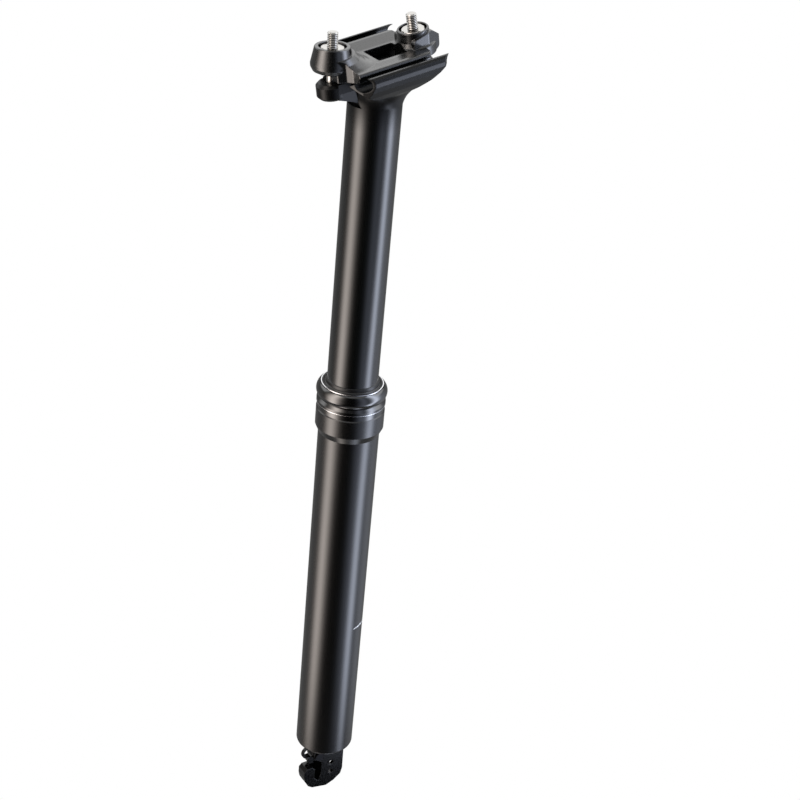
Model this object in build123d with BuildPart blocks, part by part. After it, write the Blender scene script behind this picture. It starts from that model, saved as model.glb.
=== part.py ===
"""Dropper seatpost with a 125 mm stroke, shown fully extended.

Millimetres. The origin is on the post's axis at the minimum-insertion line of the outer tube. +Z runs up the
post towards the saddle, +X points forward and +Y to the rider's left. The saddle clamp has its own frame,
tilted back about Y: u runs forward along the saddle rails and n stands square to them.
"""
from build123d import *
from math import cos, radians, sin
import os

os.makedirs("parts", exist_ok=True)

# Shared allowances
RUN_GAP = 0.05
SEAL_GAP = 0.02
SEAT_GAP = 0.3
OVERRUN = 1.0
EDGE = 0.5
REACH = 60.0

# Outer tube; its heights count from the lower end of the tube
TUBE_OD = 31.6
TUBE_WALL = 1.8
TUBE_LENGTH = 216.4
MIN_INSERTION = 85.0
TUBE_FOOT_ROUND = 1.2
SLEEVE_OD = 35.2
SLEEVE_LENGTH = 13.9
SLEEVE_TAPER = 3.9
FOOT_SEAT_RADIUS = 14.6

# Sliding inner post; its heights, and those of all that rides in it, count from its own lower end
STANCHION_OD = 26.0
STANCHION_WALL = 2.0
POST_ENGAGEMENT = 75.4
STANCHION_BORE_TOP = 225.0

# Guides
BUSHING_SEAT_RADIUS = 15.0
BUSHING_SEAT_DEPTH = 22.0
BACKUP_THICKNESS = 1.0
UPPER_BUSHING_LENGTH = 11.5
SLIDE_CLEARANCE = 0.3
LOWER_BUSHING_LOW = 1.5
LOWER_BUSHING_LENGTH = 12.0
LOWER_BUSHING_BORE = 12.2
BUSHING_SPLIT = 1.2
KEY_COUNT = 3
KEY_LOW = 17.0
KEY_LENGTH = 10.0
KEY_WIDTH = 3.0
KEY_ROOT_RADIUS = 12.1
KEY_TIP_RADIUS = 14.9
KEYWAY_RADIUS = 15.0
KEYWAY_LOW = 14.0

# Collar, with heights from its seat on top of the sleeve
SPIGOT_RADIUS = 16.2
SPIGOT_LENGTH = 9.0
COLLAR_RADIUS = 17.65
COLLAR_GROOVE_RADIUS = 17.1
COLLAR_GROOVE_TOP = 2.7
COLLAR_BAND_LOW = 3.1
COLLAR_BAND_TOP = 4.8
WAIST_RADIUS = 16.4
WAIST_HEIGHT = 6.2
BULGE_RADIUS = 18.15
BULGE_HEIGHT = 10.3
CROWN_RADIUS = 16.3
CROWN_HEIGHT = 13.75
LIP_FOOT_RADIUS = 16.1
LIP_FOOT_HEIGHT = 13.4
LIP_OUTER_RADIUS = 15.95
LIP_HEIGHT = 14.2
LIP_INNER_RADIUS = 15.45
SEAL_POCKET_RADIUS = 15.2
LIP_INNER_HEIGHT = 13.8
FOAM_LOW = -7.4
FOAM_HEIGHT = 4.4
WIPER_LOW = 8.2
WIPER_CONE_LOW = 13.5
WIPER_CONE_TOP = 16.1
WIPER_RIDGES = ((14.9, 14.3), (14.4, 14.8), (14.1, 14.55), (13.85, 14.7), (13.6, 15.6))
WIPER_LIP_TOP = 16.3
WIPER_LIP_LAND = 0.4
WIPER_LIP_SLOPE = 2.6
WIPER_THROAT = 0.85
WIPER_FOOT_LIP = 1.9
COLLAR_O_RING_HEIGHT = -1.2
COLLAR_O_RING_SECTION = 1.3

# Bottom plug and hollow rod, with heights from the lower end of the tube
PLUG_LOW = -1.0
PLUG_HEIGHT = 12.0
PLUG_O_RING_HEIGHT = 6.0
PLUG_O_RING_SECTION = 1.4
ROD_RADIUS = 4.0
ROD_STUB_RADIUS = 3.4
ROD_BORE = 1.55
ROD_FOOT = -0.6
ROD_HEX_LOW = 8.0
ROD_HEX_TOP = 12.0
ROD_HEX_RADIUS = 6.0
ROD_POCKET_RADIUS = 6.4

# Damper cartridge and the rod's upper end, with heights from the lower end of the inner post
ROD_TOP = 22.5
CYLINDER_BORE = 8.0
CYLINDER_RADIUS = 9.2
CYLINDER_LOW = 5.0
CYLINDER_TOP = 209.0
RETAINER_BORE = 4.6
SPANNER_RADIUS = 1.0
SPANNER_PITCH = 7.8
SPANNER_DEPTH = 2.0
GLAND_TOP = 12.0
SEAL_SECTION = 1.4
BUMPER_TOP = 16.7
BUMPER_BORE = 4.4
BUMPER_RADIUS = 7.2
PISTON_LOW = 17.0
PISTON_SKIRT_TOP = 25.0
PISTON_TOP = 29.0
PISTON_SKIRT_RADIUS = 7.0
PORT_HEIGHT = 23.9
PORT_RADIUS = 0.7
PORT_COUNT = 3
VALVE_BORE = 2.2
VALVE_SEAT_RADIUS = 3.2
VALVE_SEAT_DEPTH = 1.0
VALVE_LIFT_GAP = 0.1
POPPET_HEAD = 1.2
PIN_RADIUS = 1.5
PIN_FOOT = -8.5
PIN_SHOULDER = 22.3
PIN_STEM_RADIUS = 1.0
FLOATER_LOW = 129.0
FLOATER_LENGTH = 10.0
FLOATER_POCKET_RADIUS = 5.0
FLOATER_POCKET_DEPTH = 6.0
END_CAP_LOW = 203.0
END_CAP_TOP = 212.0
GAS_VALVE_RADIUS = 2.5
GAS_VALVE_LOW = 205.5
GAS_VALVE_TOP = 217.0
GAS_CAP_RADIUS = 3.6

# Release bracket, (forward, height) from the lower end of the tube
PLATE_OUTLINE = ((-11.0, -1.0), (-11.3, -23.6), (-10.3, -27.6), (-6.0, -31.0), (-1.0, -33.0), (2.0, -32.2),
                 (4.0, -26.0), (3.0, -23.0), (3.0, -14.2), (5.0, -12.5), (7.9, -11.2), (8.2, -8.6),
                 (7.6, -1.0))
FAR_CHEEK_OUTLINE = ((-9.0, -1.0), (-8.6, -9.0), (-5.8, -12.4), (-2.6, -14.6), (-2.6, -30.6), (7.4, -30.6),
                     (7.4, -12.8), (7.9, -11.2), (8.2, -8.6), (7.6, -1.0))
STOP_OUTLINE = ((-8.4, -29.0), (-6.0, -31.0), (-1.0, -33.0), (8.2, -31.2), (11.0, -29.2), (13.2, -25.4),
                (14.0, -22.0), (14.0, -18.2), (12.4, -16.4), (9.0, -16.4), (7.2, -18.2), (7.2, -24.6),
                (5.0, -27.2), (-3.0, -27.2), (-6.5, -27.2))
BRACKET_ENVELOPE = 15.2
CHEEK_INNER = 2.3
CHEEK_OUTER = 4.4
PLATE_HOLE_RADIUS = 1.5
PLATE_HOLES = ((-3.5, -17.0), (-3.5, -23.3))
STOP_BORE_X = 10.6
STOP_BORE_Y = 1.0
STOP_BORE_RADIUS = 2.1
STOP_BORE_TOP = -20.5
CABLE_HOLE_RADIUS = 0.9

# Cam lever on its pivot
PIVOT_X = 5.0
PIVOT_Z = -9.26
PIVOT_RADIUS = 1.5
PIVOT_HEAD_RADIUS = 2.6
PIVOT_HEAD_HEIGHT = 0.9
PIVOT_TAIL = 5.7
CLIP_GROOVE_RADIUS = 1.1
CLIP_THICKNESS = 0.5
CLIP_RADIUS = 2.7
CLIP_MOUTH = 1.6
LEVER_HALF_WIDTH = 1.9
LEVER_BOSS_RADIUS = 2.9
CAM_NOSE_X = 0.11
CAM_NOSE_Z = -10.3
CAM_NOSE_RADIUS = 1.5
CAM_NECK_RADIUS = 1.1
HOOK_X = 10.2
HOOK_Z = -7.6
HOOK_RADIUS = 3.9
HOOK_POCKET_RADIUS = 2.6
HOOK_ARM_RADIUS = 1.9
HOOK_HALF_WIDTH = 0.8
TAIL_X = 8.6
TAIL_Z = -13.4
TAIL_RADIUS = 1.8

# Saddle clamp frame
CLAMP_HEIGHT = 259.0
CLAMP_TILT = 11.0
RAIL_SPACING = 43.5
RAIL_GROOVE_RADIUS = 3.6
RAIL_LEVEL = -2.0
ROCKER_RADIUS = 29.0
ROCKER_U = 3.0
ROCKER_LEVEL = 14.8
ROCKER_GAP = 0.1

# Head of the inner post: (radius, height) of the flare, then (u, n) outlines in the clamp frame
FLARE_POINTS = ((13.0, 236.0), (13.5, 238.6), (14.7, 241.4), (16.6, 244.0), (19.4, 246.8), (23.6, 250.4))
FLARE_TOP = 255.0
FLARE_TOP_RADIUS = 29.0
HEAD_HALF_WIDTH = 18.2
HEAD_BLOCK_OUTLINE = ((-15.2, -9.0), (-14.6, -14.0), (-13.0, -24.0), (14.5, -24.0), (16.4, -16.0),
                      (17.6, -8.0), (17.6, -4.0), (-15.2, -4.0))
FRONT_EAR_OUTLINE = ((19.8, -5.6), (33.4, -5.6), (33.4, -13.2), (26.0, -13.2), (18.4, -16.4), (10.0, -21.6),
                     (8.0, -14.5), (14.0, -12.6), (18.2, -9.8), (19.4, -8.0))
REAR_EAR_OUTLINE = ((-15.4, -7.6), (-27.7, -7.6), (-27.7, -13.4), (-21.0, -13.4), (-14.0, -19.0),
                    (-8.0, -22.0), (-4.0, -14.8), (-11.0, -12.4), (-14.8, -10.6))
EAR_EDGE = 1.3
EAR_SECTION = ((7.2, -4.0), (7.2, -9.4), (3.6, -24.0))
FRONT_EAR_TOP = -5.6
FRONT_EAR_BOTTOM = -13.2
REAR_EAR_TOP = -7.6
REAR_EAR_BOTTOM = -13.4
TROUGH_OUTLINE = ((-15.2, 2.0), (-15.2, -12.0), (-14.0, -20.0), (19.0, -20.0), (19.4, -11.0), (19.4, 2.0))
EAR_HALF_WIDTH = 7.0
EAR_HOLE_RADIUS = 3.0
FRONT_EAR_U = 26.3
REAR_EAR_U = -20.6

# Clamp bolts, M5 with their threaded ends upward; lengths along a bolt count from the top face of its nut
BOLT_RADIUS = 2.5
THREAD_PITCH = 0.8
THREAD_DEPTH = 0.35
THREAD_LENGTH = 15.2
BOLT_END_CHAMFER = 0.6
BOLT_HEAD_RADIUS = 4.25
BOLT_HEAD_HEIGHT = 4.0
HEX_KEY_RADIUS = 2.3
HEX_DEPTH = 2.4
WASHER_THICKNESS = 1.0
WASHER_RADIUS = 4.9
WASHER_BORE = 2.65
COUNTERBORE_RADIUS = 5.0
NUT_RADIUS = 5.8
NUT_HEIGHT = 5.4
NUT_EDGE = 0.6
NUT_BORE_GAP = 0.03
NUT_NOTCH_COUNT = 4
NUT_NOTCH_WIDTH = 1.4
NUT_NOTCH_DEPTH = 0.8
NUT_CUP_RADIUS = 6.5
CLAMP_BOLT_HOLE = 3.7
FRONT_NUT = (23.4, 9.9)
FRONT_BOLT_LEAN = 8.5
FRONT_STUD = 7.1
FRONT_SEAT = -18.4
REAR_NUT = (-19.1, 6.9)
REAR_BOLT_LEAN = -3.0
REAR_STUD = 7.4
REAR_SEAT = -16.4

# Lower clamp cradle: (distance from the middle, n) section halves and (u, n) outlines
CRADLE_WING_SECTION = ((15.6, -5.2), (15.6, -3.6), (16.0, -3.2), (24.13, 0.7), (23.6, 1.1), (24.9, 1.1),
                       (25.9, 0.2), (26.4, -1.2), (26.2, -3.1), (25.4, -5.0), (23.4, -7.2), (20.4, -7.8),
                       (17.4, -6.2))
CRADLE_FLANK_SECTION = ((17.3, -4.0), (26.0, -3.6), (25.0, -6.0), (23.0, -9.2), (20.2, -12.2), (17.3, -14.6))
CRADLE_PLAN = ((25.8, 12.0), (25.6, 15.4), (22.2, 21.6), (17.6, 26.6), (-18.6, 26.6), (-23.2, 23.4),
               (-24.0, 12.0))
CRADLE_CORNER = 1.2
CRADLE_HULL_SECTION = ((0.0, -5.2), (17.0, -5.2), (25.9, -3.6), (25.0, -6.0), (23.0, -9.2), (20.2, -12.2),
                       (17.3, -14.6), (0.0, -14.6))
CRADLE_HULL_SIDE = ((-13.4, -3.0), (18.2, -3.0), (18.0, -6.0), (16.2, -11.4), (14.0, -16.0), (-13.4, -16.0))
CRADLE_WINDOW_HALF_WIDTH = 5.0
CRADLE_WINDOW_REAR = -9.5
CRADLE_WINDOW_FRONT = 8.0

# Upper clamp: (distance from the middle, n) section half, (u, distance) plan half and boss profiles
PLATE_SECTION = ((0.0, -3.8), (14.6, -3.8), (16.6, -2.8), (18.4, -2.0), (19.0, -0.6), (19.0, 0.5),
                 (18.6, 1.2), (17.9, 1.5), (16.2, 1.5), (9.0, 0.1), (8.2, 0.0), (0.0, 0.0))
PLATE_PLAN = ((27.2, 8.7), (23.6, 10.6), (21.6, 13.4), (21.2, 16.6), (21.8, 19.2), (-15.6, 19.2),
              (-17.6, 16.6), (-19.8, 9.0))
PLATE_CORNER = 1.0
WINDOW_FRONT = 4.1
WINDOW_REAR = -11.4
WINDOW_HALF_WIDTH = 7.2
WINDOW_ROUND = 0.8
FRONT_PAD = ((0.0, -1.5), (19.5, -1.5), (19.5, 0.0), (17.0, 0.5), (14.2, 1.9), (11.8, 3.9), (9.8, 6.3),
             (0.0, 6.3))
FRONT_BOSS = ((0.0, -11.4), (7.0, -11.4), (8.9, -10.5), (9.9, -8.6), (10.0, -7.2), (8.3, 0.2), (8.0, 0.6),
              (7.2, 0.6), (0.0, 0.6))
REAR_BOSS = ((0.0, -11.4), (9.8, -11.4), (9.8, -6.9), (8.6, -6.0), (7.9, -4.4), (7.5, -1.6), (7.4, 0.0),
             (7.1, 0.3), (0.0, 0.3))
REAR_NOSE_SIDE = ((-14.0, 4.0), (-24.6, 6.8), (-31.0, 2.0), (-30.0, -3.2), (-25.6, -4.6), (-14.0, -4.6))
REAR_NOSE_PLAN = ((-12.0, 8.6), (-22.4, 8.4), (-30.8, 4.2))
NOSE_CORNER = 2.2

# Derived positions
foot_z = -MIN_INSERTION
tube_top_z = foot_z + TUBE_LENGTH
post_z = tube_top_z - POST_ENGAGEMENT
tube_r = TUBE_OD / 2
tube_bore_r = tube_r - TUBE_WALL
sleeve_r = SLEEVE_OD / 2
sleeve_low_z = tube_top_z - SLEEVE_LENGTH
stanchion_r = STANCHION_OD / 2
stanchion_bore_r = stanchion_r - STANCHION_WALL
sliding_r = stanchion_r + RUN_GAP
bushing_seat_z = tube_top_z - BUSHING_SEAT_DEPTH
rail_y = RAIL_SPACING / 2
piston_seal_height = (PISTON_SKIRT_TOP + PISTON_TOP) / 2
rod_seal_height = (CYLINDER_LOW + GLAND_TOP) / 2
floating_seal_height = FLOATER_LOW + FLOATER_LENGTH / 2


def side_plane(origin, lean):
    """Plane square to Y through origin, its local height leaning forward from vertical by lean degrees."""
    return Plane(origin=origin, x_dir=(cos(radians(lean)), 0, -sin(radians(lean))), z_dir=(0, -1, 0))


clamp_side = side_plane((0, 0, post_z + CLAMP_HEIGHT), CLAMP_TILT)
clamp_cross = Plane(origin=clamp_side.origin, x_dir=(0, 1, 0), z_dir=clamp_side.x_dir)
clamp_plan = Plane(origin=clamp_side.origin, x_dir=clamp_side.x_dir, z_dir=clamp_side.y_dir)


def bolt_side(nut, lean):
    """Side plane of a clamp bolt, with its origin at the middle of the nut's top face."""
    return side_plane(clamp_side.from_local_coords((nut[0], nut[1], 0)), CLAMP_TILT - lean)


front_bolt_side = bolt_side(FRONT_NUT, FRONT_BOLT_LEAN)
rear_bolt_side = bolt_side(REAR_NUT, REAR_BOLT_LEAN)


def along(plane):
    """Axis through a plane's origin along its local height."""
    return Axis(plane.origin, plane.y_dir)


def rocker_height(plane):
    """How far above a nut's top face the foot of the perpendicular from the rocker's axis meets its bolt."""
    rocker = clamp_side.from_local_coords((ROCKER_U, ROCKER_LEVEL, 0))
    return plane.to_local_coords(rocker).Y


def filled(plane, points, corner=0):
    """Closed outline in a plane, filled, with its corners rounded to the radius corner."""
    with BuildSketch(plane) as outline:
        with BuildLine():
            Polyline(*points, close=True)
        make_face()
        if corner > 0:
            fillet(outline.vertices(), corner)
    return outline.sketch


def turned(base, *points):
    """Half section of a piece turned about the post's axis, as (radius, height above base) points."""
    return filled(Plane.XZ, [(r, base + z) for r, z in points])


def ring(outer, inner, low, high, edge=0.0):
    """Half section of a plain ring about the post's axis, with both outer corners broken by edge."""
    if edge == 0:
        return turned(low, (inner, 0), (outer, 0), (outer, high - low), (inner, high - low))
    return turned(low, (inner, 0), (outer - edge, 0), (outer, edge), (outer, high - low - edge),
                  (outer - edge, high - low), (inner, high - low))


def o_ring(centre_radius, height, thickness):
    """Half section of an O-ring about the post's axis."""
    with BuildSketch(Plane.XZ) as section:
        with Locations((centre_radius, height)):
            Circle(thickness / 2)
    return section.sketch


def from_foot(points):
    """The same (forward, height) points, with heights from the lower end of the tube."""
    return [(x, foot_z + z) for x, z in points]


def from_post(points):
    """The same (radius, height) points, with heights from the lower end of the inner post."""
    return [(r, post_z + z) for r, z in points]


def mirrored(points):
    """The same (distance, height) points on the other side of the middle."""
    return [(-y, n) for y, n in points]


def both_halves(points):
    """Outline of (u, distance) points on one side of the middle and their mirror image on the other."""
    return list(points) + [(u, -y) for u, y in reversed(points)]


def thread_steps(low, high):
    """Zigzag of a thread's flanks between two heights, as (radius, height) points from high to low."""
    steps = []
    count = int((high - low) / THREAD_PITCH)
    for turn in range(count):
        crest = high - turn * THREAD_PITCH
        steps.append((BOLT_RADIUS, crest))
        steps.append((BOLT_RADIUS - THREAD_DEPTH, crest - THREAD_PITCH / 2))
    steps.append((BOLT_RADIUS, high - count * THREAD_PITCH))
    return steps


# Outer tube with its sleeve, keyways and bushing seat
with BuildPart() as outer_tube:
    with BuildSketch(Plane.XZ):
        with BuildLine():
            Line((FOOT_SEAT_RADIUS, foot_z), (tube_r - TUBE_FOOT_ROUND, foot_z))
            RadiusArc((tube_r - TUBE_FOOT_ROUND, foot_z), (tube_r, foot_z + TUBE_FOOT_ROUND),
                      -TUBE_FOOT_ROUND)
            Polyline((tube_r, foot_z + TUBE_FOOT_ROUND), (tube_r, sleeve_low_z),
                     (sleeve_r, sleeve_low_z + SLEEVE_TAPER), (sleeve_r, tube_top_z - EDGE),
                     (sleeve_r - EDGE, tube_top_z), (SPIGOT_RADIUS, tube_top_z),
                     (SPIGOT_RADIUS, tube_top_z - SPIGOT_LENGTH),
                     (BUSHING_SEAT_RADIUS, tube_top_z - SPIGOT_LENGTH),
                     (BUSHING_SEAT_RADIUS, bushing_seat_z), (tube_bore_r, bushing_seat_z),
                     (tube_bore_r, foot_z + PLUG_HEIGHT), (FOOT_SEAT_RADIUS, foot_z + PLUG_HEIGHT),
                     (FOOT_SEAT_RADIUS, foot_z))
        make_face()
    revolve(axis=Axis.Z)
    with BuildSketch(Plane.XY.offset(foot_z + KEYWAY_LOW)):
        with PolarLocations(tube_bore_r, KEY_COUNT):
            Rectangle(2 * (KEYWAY_RADIUS - tube_bore_r), KEY_WIDTH + 2 * RUN_GAP)
    extrude(amount=bushing_seat_z - foot_z - KEYWAY_LOW, mode=Mode.SUBTRACT)
outer_tube.part.label = "outer_tube"
export_step(outer_tube.part, "parts/outer_tube.step")

# Collar screwed into the sleeve: plain band, waist, rolled upper ring and raised lip round the wiper
with BuildPart() as collar:
    with BuildSketch(Plane.XZ):
        with BuildLine():
            Polyline((CROWN_RADIUS, tube_top_z + CROWN_HEIGHT),
                     (LIP_FOOT_RADIUS, tube_top_z + LIP_FOOT_HEIGHT),
                     (LIP_OUTER_RADIUS, tube_top_z + LIP_HEIGHT),
                     (LIP_INNER_RADIUS, tube_top_z + LIP_HEIGHT),
                     (SEAL_POCKET_RADIUS, tube_top_z + LIP_INNER_HEIGHT),
                     (SEAL_POCKET_RADIUS, tube_top_z + WIPER_LOW),
                     (stanchion_r + SLIDE_CLEARANCE, tube_top_z + WIPER_LOW),
                     (stanchion_r + SLIDE_CLEARANCE, tube_top_z + FOAM_LOW + FOAM_HEIGHT),
                     (SEAL_POCKET_RADIUS, tube_top_z + FOAM_LOW + FOAM_HEIGHT),
                     (SEAL_POCKET_RADIUS, tube_top_z + FOAM_LOW),
                     (stanchion_r + SLIDE_CLEARANCE, tube_top_z + FOAM_LOW),
                     (stanchion_r + SLIDE_CLEARANCE, tube_top_z - SPIGOT_LENGTH),
                     (SPIGOT_RADIUS - EDGE, tube_top_z - SPIGOT_LENGTH),
                     (SPIGOT_RADIUS, tube_top_z - SPIGOT_LENGTH + EDGE), (SPIGOT_RADIUS, tube_top_z),
                     (COLLAR_GROOVE_RADIUS, tube_top_z),
                     (COLLAR_GROOVE_RADIUS, tube_top_z + COLLAR_GROOVE_TOP),
                     (COLLAR_RADIUS, tube_top_z + COLLAR_BAND_LOW),
                     (COLLAR_RADIUS, tube_top_z + COLLAR_BAND_TOP),
                     (WAIST_RADIUS, tube_top_z + WAIST_HEIGHT))
            ThreePointArc((WAIST_RADIUS, tube_top_z + WAIST_HEIGHT),
                          (BULGE_RADIUS, tube_top_z + BULGE_HEIGHT),
                          (CROWN_RADIUS, tube_top_z + CROWN_HEIGHT))
        make_face()
    revolve(axis=Axis.Z)
    revolve(o_ring(SPIGOT_RADIUS, tube_top_z + COLLAR_O_RING_HEIGHT, COLLAR_O_RING_SECTION), axis=Axis.Z,
            mode=Mode.SUBTRACT)
collar.part.label = "collar"
export_step(collar.part, "parts/collar.step")

# O-ring between the collar and the sleeve, squeezed flush with the spigot
with BuildPart() as collar_o_ring:
    revolve(o_ring(SPIGOT_RADIUS, tube_top_z + COLLAR_O_RING_HEIGHT, COLLAR_O_RING_SECTION), axis=Axis.Z)
    Cylinder(SPIGOT_RADIUS, REACH * REACH, mode=Mode.INTERSECT)
collar_o_ring.part.label = "collar_o_ring"
export_step(collar_o_ring.part, "parts/collar_o_ring.step")

# Foam ring that oils the inner post
with BuildPart() as foam_ring:
    revolve(ring(SEAL_POCKET_RADIUS, sliding_r, tube_top_z + FOAM_LOW, tube_top_z + FOAM_LOW + FOAM_HEIGHT),
            axis=Axis.Z)
foam_ring.part.label = "foam_ring"
export_step(foam_ring.part, "parts/foam_ring.step")

# Wiper seal with two lips on the inner post and a ridged cone that sheds water
with BuildPart() as wiper_seal:
    revolve(turned(tube_top_z, (SEAL_POCKET_RADIUS, WIPER_LOW), (SEAL_POCKET_RADIUS, WIPER_CONE_LOW),
                   *WIPER_RIDGES, (sliding_r + SLIDE_CLEARANCE, WIPER_CONE_TOP), (sliding_r, WIPER_LIP_TOP),
                   (sliding_r, WIPER_LIP_TOP - WIPER_LIP_LAND),
                   (sliding_r + WIPER_THROAT, WIPER_LIP_TOP - WIPER_LIP_SLOPE),
                   (sliding_r + WIPER_THROAT, WIPER_LOW + WIPER_FOOT_LIP + WIPER_THROAT),
                   (sliding_r, WIPER_LOW + WIPER_FOOT_LIP),
                   (sliding_r, WIPER_LOW + WIPER_FOOT_LIP - WIPER_LIP_LAND),
                   (sliding_r + WIPER_THROAT, WIPER_LOW + WIPER_LIP_LAND),
                   (sliding_r + WIPER_THROAT, WIPER_LOW)), axis=Axis.Z)
wiper_seal.part.label = "wiper_seal"
export_step(wiper_seal.part, "parts/wiper_seal.step")

# Steel backup ring under the upper bushing
with BuildPart() as backup_ring:
    revolve(ring(BUSHING_SEAT_RADIUS, stanchion_r + SLIDE_CLEARANCE, bushing_seat_z,
                 bushing_seat_z + BACKUP_THICKNESS), axis=Axis.Z)
backup_ring.part.label = "backup_ring"
export_step(backup_ring.part, "parts/backup_ring.step")

# Upper guide bushing, split so that it closes on the inner post
with BuildPart() as upper_bushing:
    revolve(ring(BUSHING_SEAT_RADIUS, sliding_r, bushing_seat_z + BACKUP_THICKNESS,
                 bushing_seat_z + BACKUP_THICKNESS + UPPER_BUSHING_LENGTH), axis=Axis.Z)
    with BuildSketch(Plane.XY.offset(bushing_seat_z)):
        with Locations((0, stanchion_r)):
            Rectangle(BUSHING_SPLIT, stanchion_r)
    extrude(amount=BUSHING_SEAT_DEPTH, mode=Mode.SUBTRACT)
upper_bushing.part.label = "upper_bushing"
export_step(upper_bushing.part, "parts/upper_bushing.step")

# Bottom plug of the tube, in one piece with the release bracket
with BuildPart() as release_bracket:
    revolve(turned(foot_z, (0, PLUG_LOW), (FOOT_SEAT_RADIUS - EDGE, PLUG_LOW),
                   (FOOT_SEAT_RADIUS, PLUG_LOW + EDGE), (FOOT_SEAT_RADIUS, PLUG_HEIGHT), (0, PLUG_HEIGHT)),
            axis=Axis.Z)
    revolve(o_ring(FOOT_SEAT_RADIUS, foot_z + PLUG_O_RING_HEIGHT, PLUG_O_RING_SECTION), axis=Axis.Z,
            mode=Mode.SUBTRACT)
    extrude(filled(Plane.XZ.offset(-CHEEK_OUTER), from_foot(PLATE_OUTLINE)),
            amount=CHEEK_OUTER - CHEEK_INNER)
    extrude(filled(Plane.XZ.offset(CHEEK_INNER), from_foot(FAR_CHEEK_OUTLINE)),
            amount=CHEEK_OUTER - CHEEK_INNER)
    extrude(filled(Plane.XZ.offset(-CHEEK_OUTER), from_foot(STOP_OUTLINE)),
            amount=CHEEK_OUTER + CHEEK_INNER)
    Cylinder(BRACKET_ENVELOPE, REACH * REACH, mode=Mode.INTERSECT)
    with BuildSketch(Plane.XZ.offset(-CHEEK_OUTER - OVERRUN)):
        with Locations(*from_foot(PLATE_HOLES)):
            Circle(PLATE_HOLE_RADIUS)
        with Locations((PIVOT_X, foot_z + PIVOT_Z)):
            Circle(PIVOT_RADIUS)
    extrude(amount=2 * (CHEEK_OUTER + OVERRUN), mode=Mode.SUBTRACT)
    with BuildSketch(Plane.XY.offset(foot_z - REACH)):
        with Locations((STOP_BORE_X, STOP_BORE_Y)):
            Circle(STOP_BORE_RADIUS)
    extrude(amount=REACH + STOP_BORE_TOP, mode=Mode.SUBTRACT)
    with BuildSketch(Plane.XY.offset(foot_z + STOP_BORE_TOP - OVERRUN)):
        with Locations((STOP_BORE_X, STOP_BORE_Y)):
            Circle(CABLE_HOLE_RADIUS)
    extrude(amount=HOOK_Z - HOOK_RADIUS - STOP_BORE_TOP, mode=Mode.SUBTRACT)
    with BuildSketch(Plane.XY.offset(foot_z + PLUG_LOW - OVERRUN)):
        Circle(ROD_STUB_RADIUS)
    extrude(amount=PLUG_HEIGHT - PLUG_LOW + 2 * OVERRUN, mode=Mode.SUBTRACT)
    with BuildSketch(Plane.XY.offset(foot_z + ROD_HEX_LOW)):
        Circle(ROD_POCKET_RADIUS)
    extrude(amount=PLUG_HEIGHT, mode=Mode.SUBTRACT)
release_bracket.part.label = "release_bracket"
export_step(release_bracket.part, "parts/release_bracket.step")

# O-ring round the bottom plug, squeezed flush with it
with BuildPart() as plug_o_ring:
    revolve(o_ring(FOOT_SEAT_RADIUS, foot_z + PLUG_O_RING_HEIGHT, PLUG_O_RING_SECTION), axis=Axis.Z)
    Cylinder(FOOT_SEAT_RADIUS, REACH * REACH, mode=Mode.INTERSECT)
plug_o_ring.part.label = "plug_o_ring"
export_step(plug_o_ring.part, "parts/plug_o_ring.step")

# Hollow rod, screwed into the plug by its stub and stopped by its hexagon
with BuildPart() as rod:
    revolve(turned(0, (ROD_BORE, foot_z + ROD_FOOT), (ROD_STUB_RADIUS, foot_z + ROD_FOOT),
                   (ROD_STUB_RADIUS, foot_z + ROD_HEX_LOW), (ROD_RADIUS, foot_z + ROD_HEX_LOW),
                   (ROD_RADIUS, post_z + ROD_TOP), (ROD_BORE, post_z + ROD_TOP)), axis=Axis.Z)
    with BuildSketch(Plane.XY.offset(foot_z + ROD_HEX_LOW)):
        RegularPolygon(ROD_HEX_RADIUS, 6)
        Circle(ROD_RADIUS, mode=Mode.SUBTRACT)
    extrude(amount=ROD_HEX_TOP - ROD_HEX_LOW)
rod.part.label = "rod"
export_step(rod.part, "parts/rod.step")


def sliding_seal(height):
    """Half section of an O-ring in the cartridge's bore, at a height from the inner post's lower end."""
    return o_ring(CYLINDER_BORE - SEAL_GAP - SEAL_SECTION / 2, post_z + height, SEAL_SECTION)


# Piston on top of the rod, with the oil valve's seat and its ports under the seal
with BuildPart() as piston:
    revolve(turned(post_z, (VALVE_BORE, ROD_TOP), (ROD_RADIUS, ROD_TOP), (ROD_RADIUS, PISTON_LOW),
                   (PISTON_SKIRT_RADIUS, PISTON_LOW), (PISTON_SKIRT_RADIUS, PISTON_SKIRT_TOP),
                   (CYLINDER_BORE - RUN_GAP, PISTON_SKIRT_TOP), (CYLINDER_BORE - RUN_GAP, PISTON_TOP),
                   (VALVE_SEAT_RADIUS, PISTON_TOP), (VALVE_BORE, PISTON_TOP - VALVE_SEAT_DEPTH)),
            axis=Axis.Z)
    revolve(sliding_seal(piston_seal_height), axis=Axis.Z, mode=Mode.SUBTRACT)
    with PolarLocations(0, PORT_COUNT):
        with Locations((0, 0, post_z + PORT_HEIGHT)):
            Cylinder(PORT_RADIUS, CYLINDER_BORE, rotation=(0, 90, 0),
                     align=(Align.CENTER, Align.CENTER, Align.MIN), mode=Mode.SUBTRACT)
piston.part.label = "piston"
export_step(piston.part, "parts/piston.step")

with BuildPart() as piston_seal:
    revolve(sliding_seal(piston_seal_height), axis=Axis.Z)
piston_seal.part.label = "piston_seal"
export_step(piston_seal.part, "parts/piston_seal.step")

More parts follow.
